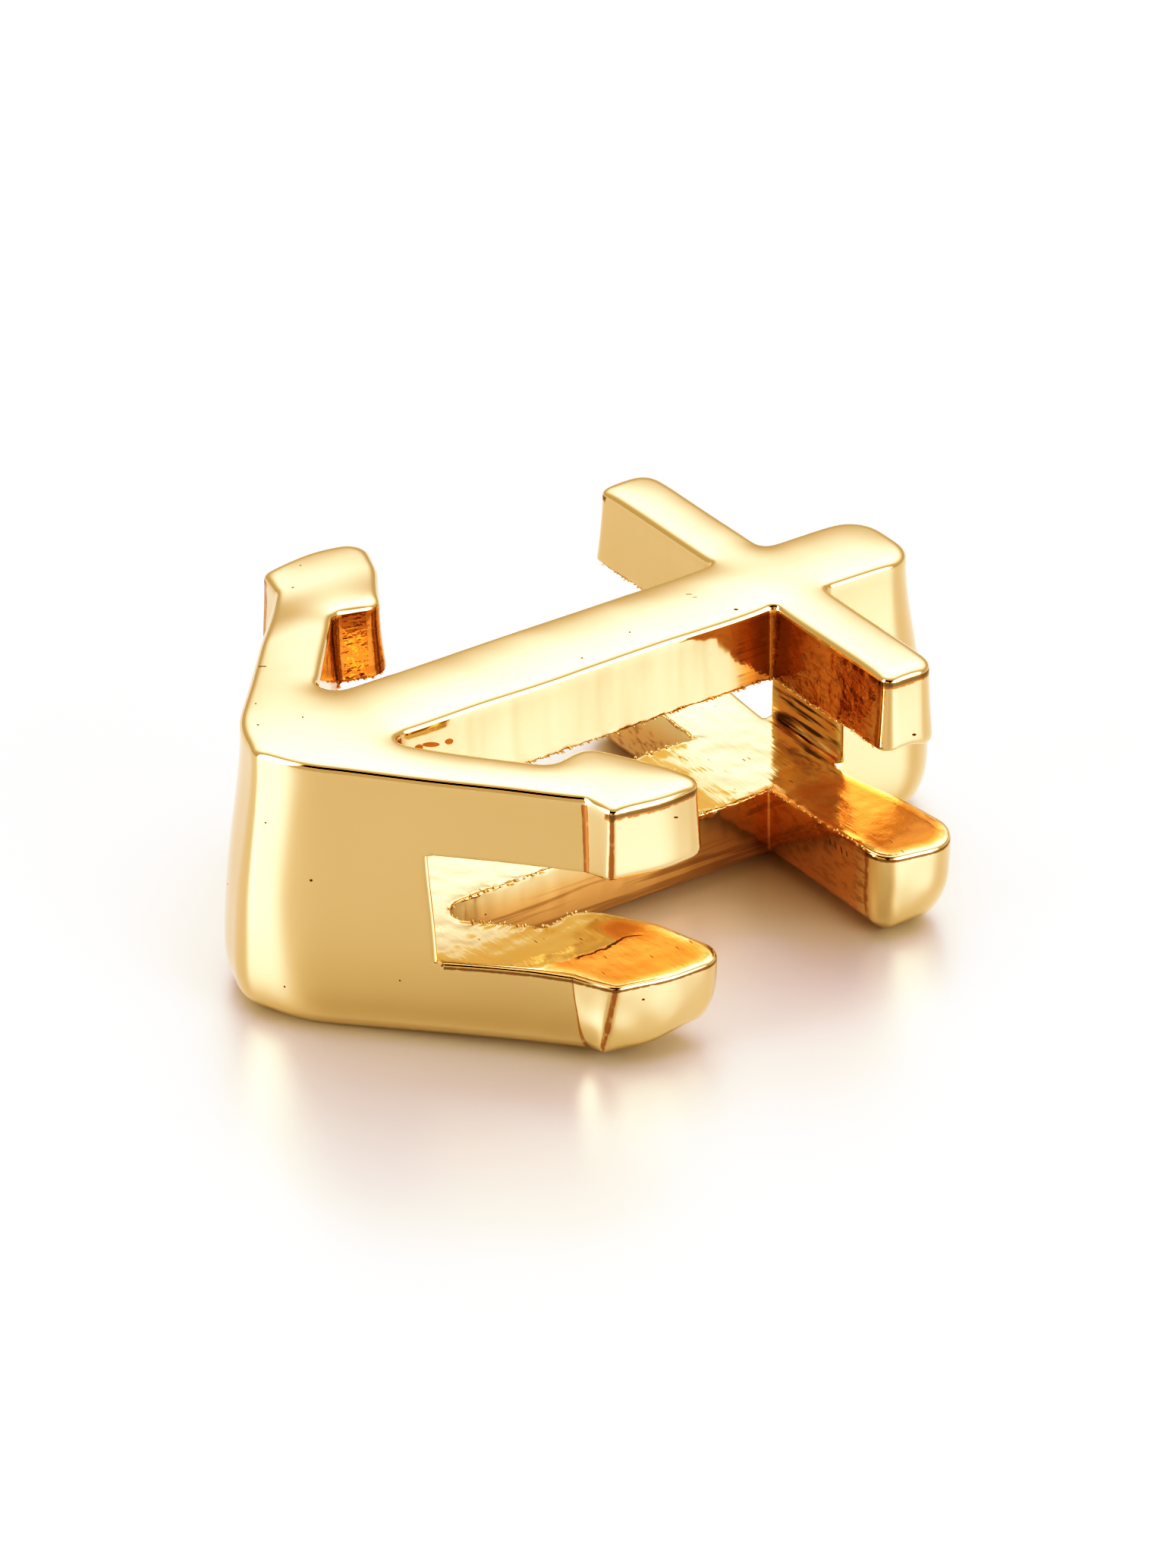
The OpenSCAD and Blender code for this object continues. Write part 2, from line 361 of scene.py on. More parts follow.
def softFilm(points, tris, fixed, reach):
    # A film that is 0 along the fixed edge and climbs to 1 within the reach: solved by conjugate gradients
    t = np.array(tris)
    n = len(points)
    i, j, w = [], [], []
    for k in range(3):
        a, b, c = (points[t[:, (k + m) % 3]] for m in range(3))
        u, v = a - c, b - c
        cross = np.abs(u[:, 0] * v[:, 1] - u[:, 1] * v[:, 0])
        i.append(t[:, k])
        j.append(t[:, (k + 1) % 3])
        w.append(np.clip((u * v).sum(1) / np.maximum(cross, 1e-9), -20, 20) / 2)
    i, j, w = np.concatenate(i), np.concatenate(j), np.concatenate(w)
    share = np.bincount(t.ravel(), weights=np.repeat(cross / 6, 3), minlength=n) / reach ** 2
    diagonal = np.bincount(i, weights=w, minlength=n) + np.bincount(j, weights=w, minlength=n) + share

    def pull(u):
        out = diagonal * u - np.bincount(i, weights=w * u[j], minlength=n)
        out -= np.bincount(j, weights=w * u[i], minlength=n)
        out[fixed] = 0
        return out

    u = np.zeros(n)
    r = share.copy()
    r[fixed] = 0
    z = r / diagonal
    p = z.copy()
    rz = r @ z
    for _ in range(400):                       # it settles long before the last turn
        q = pull(p)
        step = rz / (p @ q)
        u += step * p
        r -= step * q
        z = r / diagonal
        fresh = r @ z
        if fresh < 1e-16:
            break
        p = z + fresh / rz * p
        rz = fresh
    return np.clip(u, 0, 0.9995)


polished, asCast = 0, 1                        # material slots of the casting


class Skin:
    # The casting's points in mm and its faces. For each point it keeps how well the buff reached it, how far
    # it lies inside the slot, past the rim, and how strong a darker line is there, painted dark reflections
    # included.
    def __init__(self):
        self.points, self.buffed, self.inside, self.linesAndReflections = [], [], [], []
        self.faces, self.finish, self.count = [], [], 0

    def add(self, flat, z, buffed=0.0, inside=0.0, linesAndReflections=0.0):
        # Gives back the new points' numbers
        size = len(flat)
        self.points.append(np.column_stack([flat, np.broadcast_to(z, size)]))
        for kept, value in ((self.buffed, buffed), (self.inside, inside), (self.linesAndReflections, linesAndReflections)):
            kept.append(np.broadcast_to(value, size))
        self.count += size
        return np.arange(self.count - size, self.count)

    def face(self, corners, finish):
        self.faces.append(corners)
        self.finish.append(finish)


def outwardNormals(ring):
    way = unit(np.roll(ring, -1, 0) - np.roll(ring, 1, 0))
    return np.stack([way[:, 1], -way[:, 0]], 1)


def ringMean(values, reach):
    # Running mean round the outline's columns
    return sum(np.roll(values, k) for k in range(-reach, reach + 1)) / (2 * reach + 1)


def buildCasting():
    c, g = casting, rimAndEdgeLines
    outline = Outline()
    rows, floorRow, roofRow = sideRows()
    floorZ, roofZ, edgeZ = rows[floorRow][0], rows[roofRow][0], rows[-1][0]
    skin = Skin()
    rings = [outline.ring(z, inset, True) for z, inset in rows]
    columns = len(rings[0])
    aRight, bRight, bLeft, aLeft = outline.marks
    spans = ((aRight, bRight), (bLeft, aLeft))
    inSpan = np.zeros(columns, bool)
    for first, end in spans:
        inSpan[first:end] = True
    corner = np.minimum(outline.owner, outline.count - outline.owner)  # same number on both sides
    on = {name: (corner >= first) & (corner <= last) for name, (first, last) in stretches.items()}
    inner, endFace = on["inner"], on["endFace"]
    buffed = ringMean(1.0 - inner, blends["buff"])
    # Darker orange lines down the listed upright edges
    edgeLine = np.zeros(columns)
    for number, start, end in g["edgeLines"]:
        middle = int(np.flatnonzero(outline.owner == number % outline.count).mean())
        edgeLine[middle + start:middle + end] = g["edgeLine"]
    edgeLine = np.maximum(edgeLine, ringMean(edgeLine, blends["edgeLine"]))
    floorRim = np.where(endFace, rims["endFace"], np.where(inner, rims["inner"], rims["crown"]))
    floorRim = ringMean(np.where(on["ringEnd"], rims["ring"], floorRim), blends["rim"])
    roofRim = ringMean(np.where(endFace | on["stockSide"], rims["roofEnd"], rims["roof"]), blends["rim"])
    ends = endFace | on["stockEnd"]
    rimmed = inSpan & (ends | on["arm"])
    darkZ = floorZ - c["rimSteps"][g["darkStep"]]

    def lineStrengths(z, inset):
        # Edge lines, faint lines by the inner rims, and the painted dark reflection lines under the outer
        # rims and the end faces' upper edge
        gap = min(abs(z - floorZ + g["faintAway"]), abs(z - roofZ - g["faintAway"]))
        faint = g["faint"] * inner * math.exp(-(gap / g["faintReach"]) ** 2)
        # Painted dark reflection of the surroundings in the rounded outer rim and the end faces' upper edge
        dark = g["dark"] * (rimmed * (abs(z - darkZ) < 1e-6) + ends * (z == edgeZ))
        return np.maximum.reduce([edgeLine * (inset < g["edgeLineInset"]), faint, dark])

    index = np.array([skin.add(ring, z, buffed, 0, lineStrengths(z, inset))
                      for ring, (z, inset) in zip(rings, rows)])
    for j in range(len(rows) - 1):
        for k in range(columns):
            if not (floorRow <= j < roofRow and inSpan[k]):
                m = (k + 1) % columns
                skin.face((index[j, k], index[j, m], index[j + 1, m], index[j + 1, k]), polished)
    shift = {}

    def roundRim(number, distance, reach, sideNormal, openNormal, onSide):
        # Pull a point near the slot's rim in to its rounded edge, which reaches so far on to both faces
        if distance < reach:
            faces = np.array([[*sideNormal, 0.0], openNormal], float)
            own, other = faces if onSide else faces[::-1]
            half = math.acos(own @ other) / 2
            r = reach / math.tan(half)
            turn = half * (1 - distance / reach)
            way = unit(other - (own @ other) * own)
            shift[number] = -own * r * (1 - math.cos(turn)) - way * (reach - distance - r * math.sin(turn))

    up, down = (0, 0, 1), (0, 0, -1)
    toCrown, toRing = (0, -1, 0), (0, 1, 0)
    wallAt = {aRight: (toRing, rims["crownWall"]), aLeft: (toRing, rims["crownWall"]),
              bRight: (toCrown, rims["ringWall"]), bLeft: (toCrown, rims["ringWall"])}
    insets = c["rimSteps"]
    for j, (z, _) in enumerate(rows):
        normals = outwardNormals(rings[j])
        gap, facing, rim = (floorZ - z, up, floorRim) if j <= floorRow else (z - roofZ, down, roofRim)
        for first, end in spans:
            if not floorRow < j < roofRow:
                for k in range(first, end + 1):
                    roundRim(index[j, k], gap, rim[k], normals[k], facing, True)
            for mark, way in ((first, -1), (end, 1)):
                opening, r = wallAt[mark]
                for s, step in enumerate((0,) + insets):
                    number = index[j, mark + way * s]
                    if floorRow < j < roofRow:
                        roundRim(number, step, r, normals[mark], opening, True)
                    elif s > 0:
                        away = math.hypot(step, gap)
                        mix = (np.array(opening) * step + np.array(facing) * gap) / away
                        roundRim(number, away, min(r, rims["meeting"]), normals[mark], mix, True)

    wallSteps = {}

    def wallLine(start, end):
        # Both faces and every row of a wall are cut into the same number of steps
        count = max(2, round(np.linalg.norm(end - start) / c["slotStep"]))
        return between(start, end, wallSteps.setdefault(round(start[1], 3), count))

    def slotFace(row, z, faceUp):
        # The slot's floor or roof: strips along both sides, then an even mesh between them
        normals = outwardNormals(rings[row])
        rim, facing = (floorRim, up) if faceUp else (roofRim, down)
        keep = np.concatenate([np.arange(first, end + 1) for first, end in spans])
        chains = [index[row]]
        for d in insets:
            ring = outline.ring(z, d)
            numbers = np.full(columns, -1)
            numbers[keep] = skin.add(ring[keep], z, buffed[keep], d / insets[-1])
            for k in keep:
                roundRim(numbers[k], d, rim[k], normals[k], facing, False)
            a, b = chains[-1], numbers
            for first, end in spans:
                for k in range(first, end):
                    corners = (a[k], a[k + 1], b[k + 1], b[k])
                    skin.face(corners if faceUp else corners[::-1], asCast)
            chains.append(numbers)
        across = ((bRight, bLeft), (aLeft, aRight))
        lines = [wallLine(ring[start], ring[end]) for start, end in across]
        loop = np.concatenate([ring[aRight:bRight + 1], lines[0], ring[bLeft:aLeft + 1], lines[1]])
        points, tris = fillLoop(loop, c["slotStep"])
        strips = [skin.add(line, z, 0, 1) for line in lines]
        filled = skin.add(points[len(loop):], z, 0, 1)
        own = [numbers[aRight:bRight + 1], strips[0], numbers[bLeft:aLeft + 1], strips[1], filled]
        own = np.concatenate(own)
        for t in tris:
            skin.face(tuple(own[t if faceUp else t[::-1]]), asCast)
        return [[chain[start] for chain in chains] + list(strip) + [chain[end] for chain in reversed(chains)]
                for (start, end), strip in zip(across, strips)]

    floorRing, floorCrown = slotFace(floorRow, floorZ, True)
    roofRing, roofCrown = slotFace(roofRow, roofZ, False)

    def slotWall(bottom, top, right, left):
        # A wall of the slot, from the floor's edge to the roof's
        opening, r = wallAt[right]
        previous = bottom
        for j in range(floorRow + 1, roofRow + 1):
            z = rows[j][0]
            if j == roofRow:
                current = top
            else:
                lines = [outline.ring(z, d) for d in insets]
                normals = outwardNormals(rings[j])
                starts, ends = [line[right] for line in lines], [line[left] for line in lines]
                flat = np.concatenate([starts, wallLine(starts[-1], ends[-1]), ends[::-1]])
                depth = np.full(len(flat), 1.0)
                depth[:len(insets)] = depth[-len(insets):][::-1] = np.array(insets) / insets[-1]
                numbers = list(skin.add(flat, z, buffed[right], depth))
                for s, d in enumerate(insets):
                    roundRim(numbers[s], d, r, normals[right], opening, False)
                    roundRim(numbers[-1 - s], d, r, normals[left], opening, False)
                current = [index[j, right]] + numbers + [index[j, left]]
            for k in range(len(current) - 1):
                skin.face((previous[k], current[k], current[k + 1], previous[k + 1]), asCast)
            previous = current

    slotWall(floorRing, roofRing, bRight, bLeft)
    slotWall(floorCrown, roofCrown, aLeft, aRight)

    # Underside
    points, tris = fillLoop(rings[0], c["gridStep"] * c["coarser"])
    own = np.concatenate([index[0], skin.add(points[columns:], 0, 1.0)])
    for t in tris:
        skin.face(tuple(own[t[::-1]]), polished)

    # Upper face: rings close together at its edge, then an even mesh, all raised by the film
    lines = [rings[-1]] + [outline.ring(c["straightZ"], d) for d in c["topSteps"]]
    points, inside = fillLoop(lines[-1], c["gridStep"])
    last = (len(lines) - 1) * columns
    flat = np.concatenate(lines[:-1] + [points])
    tris = []
    for j in range(0, last, columns):
        for k in range(columns):
            a, b = j + k, j + (k + 1) % columns
            tris += [(a, b, b + columns), (a, b + columns, a + columns)]
    tris += [tuple(v + last for v in t) for t in inside]
    film = softFilm(flat, tris, np.arange(columns), c["soften"])
    away = -c["soften"] * np.log(1 - film)
    over = 1 - np.minimum(away / c["edgeRun"], 1)
    dome = c["domeRise"] * (1 - np.exp(-away / c["domeReach"]))
    z = edgeZ + c["edgeDrop"] * np.sqrt(1 - over ** 2) + dome
    own = np.concatenate([index[-1], skin.add(flat[columns:], z[columns:], 1.0)])
    for t in tris:
        skin.face(tuple(own[list(t)]), polished)

    points = np.concatenate(skin.points)
    for number, move in shift.items():
        points[number] += move
    ragged = [index[row, k] for row in (floorRow, roofRow) for first, end in spans
              for k in range(first, end + 1) if inner[k]]
    return points, skin, ragged


def ease(x, start, whole):
    # Climbs smoothly from 0 at the start to 1 where a change is whole
    t = np.clip((x - start) / (whole - start), 0, 1)
    return t * t * (3 - 2 * t)


# What grinding, shrinkage and the worn mould did to the plain form, in mm. A pair runs from where a change
# starts to where it is whole. Three numbers are the depth, step and seed of a soft noise that moves points.
hand = {
    "crownHalfY": (0, -0.8),                   # keeps a change off the stock
    # Near arm's underside, ground up
    "lift": 0.14, "liftX": (0.5, 4.5), "liftY": (-1.0, -2.0), "liftTop": 1.1,
    # Lower flukes' tips rise like a bow
    "bow": 0.3, "bowX": (3.6, 5.6), "bowY": (-2.7, -1.2), "bowTop": 1.5, "bowCurve": 1.5,
    # Slot's floor: distance from the middle and rise
    "floorRise": ((1.0, 0), (4.3, 0.18), (5.4, 0.11)), "riseReach": 0.8,
    # Slot's ring wall: how it starts above the floor and ends under the roof, the bead at its foot, its lean
    "wallY": 4.5, "wallFoot": (0, 0.03), "wallHead": (-0.02, -0.1),
    "bead": 0.04, "beadZ": 0.04, "beadReach": 0.025, "lean": 0.04,
    # Slot's faces, and its ragged rims
    "wavy": (0.011, 1.3, 1), "pitted": (0.009, 0.3, 2),
    "burr": (0.03, 0.12, 3), "burrReach": 0.07, "burrEndY": 5.4,
    # Top of the far fluke hangs lower, and so does the upper stock's near back corner
    "drop": 0.1, "dropX": (-3.2, -4.8), "dropZ": (4.6, 5.6),
    "sag": 0.22, "sagX": (3.9, 4.7), "sagY": (4.2, 5.1), "sagReach": 0.9,
    # Polished faces, and the lower plate's ends
    "soft": (0.026, 2.0, 4), "softZ": (0.05, 0.6),
    "dent": (0.035, 0.55, 5), "dentX": (4.3, 4.8), "dentZ": (0.2, 0.6), "dentTopZ": (1.6, 1.1),
}


def smoothTable(x, table):
    # Goes smoothly through the rows of a table of two columns
    out = np.full(len(x), float(table[0][1]))
    for (a, start), (b, end) in zip(table, table[1:]):
        out += (end - start) * ease(x, a, b)
    return out


def noiseField(points, step, seed):
    # Three soft random numbers from -1 to 1 at each point, the same at every run
    noise.seed_set(seed)
    shift = Vector((seed * 7.3, seed * 3.1, -seed * 5.7))
    return np.array([noise.noise_vector(Vector(p) / step + shift) for p in points.tolist()])


def handFinish(p, skin):
    h = hand
    p = p.copy()
    x, y, z = p.T.copy()
    wide = np.abs(x)
    inside = np.concatenate(skin.inside)
    missed = 1 - np.concatenate(skin.buffed)
    floorZ, roofZ = casting["lowerT"], casting["lowerT"] + casting["slotH"]
    crownHalf = ease(y, *h["crownHalfY"])
    arm = ease(x, *h["liftX"]) * ease(y, *h["liftY"])
    p[:, 2] += h["lift"] * arm * np.clip(1 - z / h["liftTop"], 0, 1)
    fluke = ease(wide, *h["bowX"]) * ease(y, *h["bowY"]) * crownHalf
    p[:, 2] += h["bow"] * fluke * np.clip(1 - z / h["bowTop"], 0, 1) ** h["bowCurve"]
    p[:, 2] += smoothTable(wide, h["floorRise"]) * ease(np.abs(z - floorZ), h["riseReach"], 0)
    wall = inside * (y > h["wallY"]) * ease(z - floorZ, *h["wallFoot"]) * ease(z - roofZ, *h["wallHead"])
    bead = h["bead"] * np.exp(-((z - floorZ - h["beadZ"]) / h["beadReach"]) ** 2)
    p[:, 1] -= wall * (bead - h["lean"] * (z - floorZ))
    p[:, 2] -= h["drop"] * ease(x, *h["dropX"]) * ease(z, *h["dropZ"]) * crownHalf
    sag = ease(x, *h["sagX"]) * ease(y, *h["sagY"])
    p[:, 2] -= h["sag"] * sag * np.clip(1 - np.abs(z - roofZ) / h["sagReach"], 0, 1)

    def moves(share, name):
        depth, step, seed = h[name]
        return share[:, None] * depth * noiseField(p, step, seed)

    outside = 1 - inside
    p += moves(inside, "wavy") + moves(inside, "pitted")
    gap = np.minimum(np.abs(z - floorZ), np.abs(z - roofZ))
    rim = np.exp(-(gap / h["burrReach"]) ** 2) * (np.abs(y) < h["burrEndY"])
    p += moves(rim * missed * outside, "burr")
    p += moves(outside * ease(z, *h["softZ"]), "soft")
    ends = ease(wide, *h["dentX"]) * ease(z, *h["dentZ"]) * ease(z, *h["dentTopZ"])
    p += moves(outside * ends, "dent")
    return p


# Zones where deeper orange and brown are painted in, in mm: painted shade and the warm light the gold faces
# throw on one another, in the slot and in the recesses between the parts. A range runs from where a zone
# starts to where it is whole
zones = {
    "slotFloor": {"z": (2.1, 1.9)},
    "ringWall": {"y": (5.0, 5.15)},
    "stockFront": {"y": (2.6, 3.6), "x": (-1.4, -0.6)},
    "upperFront": {"x": (2.8, 1.4), "z": (3.5, 4)},
    "stockFloor": {"y": (3.4, 3.9), "x": (1.2, 1.8)},
    "flukeEnd": {"x": (4.4, 4.6)},
    "flukeSide": {"x": (3.5, 4.0), "y": (-2.6, -2.1)},
    "bothFlukes": {"y": (-0.5, -1.2)},
    "farFluke": {"x": (-2.5, -3.2), "y": (-0.5, -1.2)},
    "lowerSides": {"z": (1.7, 1.0), "y": (-5.0, -4.0)},
}
# How deep the painted orange and brown shade goes there: 1 is orange, 2 brown
depths = {
    "stockFront": 1, "upperFront": 0.6, "wall": 0.55, "stockFloor": 0.6, "stockPatch": 0.9,
    "nearFluke": 1.2, "farFluke": 1.25, "lowerSides": 0.5,
}
# The stock's floor is browner past a slanted line, a painted reflection of the ring wall: the line's
# direction across, and where the patch comes in
patch = {"across": (0.575, 0.818), "border": (4.9, 5.05)}


def shades(p, skin):
    # What the materials read at each point: how far the buff missed it, how deep the painted orange and brown
    # shade goes, how strong a darker line is there, painted dark reflections included, and whether it is on
    # the slot's ring wall
    missed = 1 - np.concatenate(skin.buffed)
    inside = np.concatenate(skin.inside)
    outer = (1 - inside) * missed
    zone = {name: math.prod(ease(p[:, "xyz".index(axis)], *span) for axis, span in ranges.items())
            for name, ranges in zones.items()}
    floor, wall = inside * zone["slotFloor"], inside * zone["ringWall"]
    # Painted reflection of the ring wall on the stock's floor past the slanted line
    slanted = ease(patch["across"][0] * p[:, 0] + patch["across"][1] * p[:, 1], *patch["border"])
    nearFluke = np.maximum(zone["flukeEnd"], zone["flukeSide"]) * zone["bothFlukes"]
    deepTintAndShade = np.maximum.reduce([
        depths["stockFront"] * outer * zone["stockFront"] * (1 + depths["upperFront"] * zone["upperFront"]),
        depths["wall"] * wall,
        floor * zone["stockFloor"] * (depths["stockFloor"] + depths["stockPatch"] * slanted),
        depths["nearFluke"] * floor * nearFluke,
        depths["farFluke"] * missed * zone["farFluke"],
        depths["lowerSides"] * outer * zone["lowerSides"],
    ])
    return {"missed": missed, "deepTintAndShade": deepTintAndShade, "linesAndReflections": np.concatenate(skin.linesAndReflections), "wall": wall}


def makeMesh(name, points, skin):
    mesh = bpy.data.meshes.new(name)
    mesh.from_pydata((points * mm).tolist(), [], [[int(v) for v in f] for f in skin.faces])
    mesh.polygons.foreach_set("material_index", skin.finish)
    mesh.polygons.foreach_set("use_smooth", [True] * len(mesh.polygons))
    for key, values in shades(points, skin).items():
        mesh.attributes.new(key, "FLOAT", "POINT").data.foreach_set("value", values)
    mesh.set_sharp_from_angle(angle=math.radians(casting["sharp"]))
    mesh.update()
    return newObject(name, mesh)


points, skin, rimPoints = buildCasting()
points = handFinish(points, skin)
anchorCasting = makeMesh("anchorCasting", points, skin)
print("casting built:", len(points), "points,", sum(len(f) - 2 for f in skin.faces), "triangles")


def linearColour(hexText):
    # sRGB hex to linear
    channels = [int(hexText[k:k + 2], 16) / 255 for k in (1, 3, 5)]
    return (*[v / 12.92 if v <= 0.04045 else ((v + 0.055) / 1.055) ** 2.4 for v in channels], 1)


def addNode(tree, kind, inputs=(), out=0, **settings):
    # Adds a node and gives back one of its outputs. A plain name is a shader node's. Inputs are values or
    # other nodes' outputs, in order or by name.
    node = tree.nodes.new(kind if "Node" in kind else "ShaderNode" + kind)
    for key, value in settings.items():
        setattr(node, key, value)
    for key, value in inputs.items() if isinstance(inputs, dict) else enumerate(inputs):
        if isinstance(value, bpy.types.NodeSocket):
            tree.links.new(value, node.inputs[key])
        else:
            node.inputs[key].default_value = value
    return node.outputs[out] if len(node.outputs) else None


def newMaterial(name):
    material = bpy.data.materials.new(name)
    material.use_nodes = True
    material.node_tree.nodes.clear()
    return material, material.node_tree


def giveSurface(tree, inputs):
    shader = addNode(tree, "BsdfPrincipled", inputs)
    addNode(tree, "OutputMaterial", {"Surface": shader})


def millimetres(tree, stretch=(1, 1, 1)):
    # Object coordinates in mm, stretched along the axes
    place = addNode(tree, "TexCoord", out="Object")
    return addNode(tree, "VectorMath", (place, tuple(s / mm for s in stretch)), operation="MULTIPLY")


def softNoise(tree, stretch, detail):
    # Noise with so many features per mm along each axis
    return addNode(tree, "TexNoise", {"Vector": millimetres(tree, stretch), "Scale": 1.0, "Detail": detail})


def noiseMask(tree, stretch, detail, edge):
    # Soft noise cut to a mask, between the values that count as none and full
    return addNode(tree, "MapRange", (softNoise(tree, stretch, detail), *edge, 0, 1))


def noiseBumps(tree, rows):
    # Bumps of soft noise, one on another: features per mm along each axis, detail, depth in mm, and strength
    normal = None
    for stretch, detail, depth, strength in rows:
        inputs = {"Height": softNoise(tree, stretch, detail), "Distance": depth * mm, "Strength": strength}
        if normal:
            inputs["Normal"] = normal
        normal = addNode(tree, "Bump", inputs)
    return normal


def scatteredSpecks(tree, stretch, radius, share):
    # Mask of sparse marks: cells per mm along each axis, radius and share of the cells that hold one
    away = addNode(tree, "TexVoronoi", {"Vector": millimetres(tree, stretch), "Scale": 1.0}, "Distance")
    here = addNode(tree, "Math", (away, radius), operation="LESS_THAN")
    draw = addNode(tree, "SeparateColor", (away.node.outputs["Color"],), "Red")
    kept = addNode(tree, "Math", (draw, share), operation="LESS_THAN")
    return addNode(tree, "Math", (here, kept), operation="MULTIPLY")


def layered(tree, base, *layers):
    # Colours laid over a base one after another, each where its mask is 1
    for mask, colour in layers:
        under, over = (linearColour(c) if isinstance(c, str) else c for c in (base, colour))
        base = addNode(tree, "Mix", {0: mask, 6: under, 7: over}, 2, data_type="RGBA")
    return base


# Pale where the gold is lit straight; orange and brown painted in as shade and as the gold's warm light on
# itself in recesses, and in the slot partly as random patches of the plating's own colour
goldTones = {"pale": "#EAD5AB", "orange": "#E29B57", "brown": "#7A4A1A"}


def goldColour(tree, depth):
    brown = addNode(tree, "MapRange", (depth, 1, 2, 0, 1))
    return layered(tree, goldTones["pale"], (depth, goldTones["orange"]), (brown, goldTones["brown"]))


# Gold electroplate on a hand-buffed casting: mirror bright and softly wavy outside, with orange peel where no
# buff reached, painted orange and brown shade in the recesses, darker lines along some upright edges, painted
# dark reflection lines under the outer rims and a few pinholes. Bumps, masks and specks are as their
# functions say; four numbers are two values and what they turn into.
buffedGold = {
    "wave": ((0.6, 0.6, 0.45), 1.0, 0.02), "ripple": ((1.7, 1.7, 0.3), 1.0, 0.026),
    "grain": ((6, 6, 0.4), 1.0, 0.0012), "drag": ((5, 0.35, 7), 2.0, 0.005),
    "peel": ((2.6, 2.6, 2.4), 3.0, 0.016), "roughness": (0, 1, 0.05, 0.09),
    "pinholes": ((1.1, 1.1, 1.1), 0.035, 0.12), "pinhole": "#6B4A22",
    "streaks": ((3, 0.3, 7), 3.0, (0.5, 0.6)), "streak": "#6B3C12",
    "streaksIn": (0.3, 0.5, 0, 0.5), "streaksOut": (0.6, 0.9, 0.5, 0.3),  # by the colour's depth
    "broken": ((9, 9, 5), 2.0), "line": (0.25, 0.5, 0, 0.8),
    # The lines' orange, and the painted dark reflection colour in the middle of the lines under the outer
    # rims
    "darken": (1.2, 1.5, 0, 1), "lineColour": "#A8602C", "paintedReflectionDark": "#3C240C",
}


def polishedGold():
    g = buffedGold
    material, tree = newMaterial("palePolishedGoldPlate")
    missed, deepTintAndShade, linesAndReflections = (addNode(tree, "Attribute", out="Fac", attribute_name=name)
                          for name in ("missed", "deepTintAndShade", "linesAndReflections"))
    strengths = (("wave", 1), ("ripple", missed), ("grain", missed), ("drag", deepTintAndShade), ("peel", deepTintAndShade))
    bumps = noiseBumps(tree, [(*g[name], strength) for name, strength in strengths])
    rough = addNode(tree, "MapRange", (missed, *g["roughness"]))
    dashes = addNode(tree, "Math", (linesAndReflections, softNoise(tree, *g["broken"])), operation="MULTIPLY")
    line = addNode(tree, "MapRange", (dashes, *g["line"]))
    shares = [addNode(tree, "MapRange", (deepTintAndShade, *g[key])) for key in ("streaksIn", "streaksOut")]
    share = addNode(tree, "Math", shares, operation="MINIMUM")
    streaks = addNode(tree, "Math", (noiseMask(tree, *g["streaks"]), share), operation="MULTIPLY")
    # Where the painted dark reflection lines are strongest
    dark = addNode(tree, "MapRange", (linesAndReflections, *g["darken"]))
    lineColour = layered(tree, g["lineColour"], (dark, g["paintedReflectionDark"]))
    # Colour: the painted orange and brown shade of the recesses, then streaks, the darker lines with their
    # painted dark reflections, and pinholes
    colour = layered(tree, goldColour(tree, deepTintAndShade), (streaks, g["streak"]), (line, lineColour),
                     (scatteredSpecks(tree, *g["pinholes"]), g["pinhole"]))
    giveSurface(tree, {"Metallic": 1.0, "Base Color": colour, "Roughness": rough, "Normal": bumps})
    return material


# Where two streams of metal met in the near fluke's floor: a jagged line across it, in mm
shut = {
    "x": 4.53, "swing": 0.5, "jag": ((1.8, 1.8, 1.8), 4.0), "width": (0.02, 0.032),
    "start": (-3.35, -3.25), "end": (-1.85, -1.75),
}


def coldShut(tree):
    x, y, _ = addNode(tree, "SeparateXYZ", (millimetres(tree),)).node.outputs
    jag = addNode(tree, "Math", (softNoise(tree, *shut["jag"]), 0.5), operation="SUBTRACT")
    swung = addNode(tree, "Math", (jag, shut["swing"], x), operation="MULTIPLY_ADD")
    aside = addNode(tree, "Math", (swung, shut["x"]), operation="SUBTRACT")
    away = addNode(tree, "Math", (aside,), operation="ABSOLUTE")
    near = addNode(tree, "MapRange", (away, *shut["width"], 1, 0))
    start = addNode(tree, "MapRange", (y, *shut["start"], 0, 1))
    end = addNode(tree, "MapRange", (y, *shut["end"], 1, 0))
    within = addNode(tree, "Math", (start, end), operation="MULTIPLY")
    return addNode(tree, "Math", (near, within), operation="MULTIPLY")


# The slot is plated as it came out of the mould: a dull mirror with drag marks along the strap's way and dark
# pores, deeper in colour and rougher in random patches and where orange and brown shade is painted into its
# recesses
slotGold = {
    "patches": ((1.2, 1.8, 1.8), 3.0), "bare": (0.75, 1.1, 0, 1), "leastDepth": 0.7,
    "wave": ((1.6, 2.4, 2.4), 2.0, 0.006), "drag": ((1.0, 12, 12), 3.0, 0.0035),
    "grain": ((5, 7, 7), 3.0, 0.006), "pores": ((2.5, 11, 11), 0.16, 0.09), "pore": "#8A5A2A",
    "streaks": ((0.8, 5, 9), 3.0, (0.5, 0.62)), "streak": "#4A2C0C", "roughness": (0, 1, 0.12, 0.25),
}


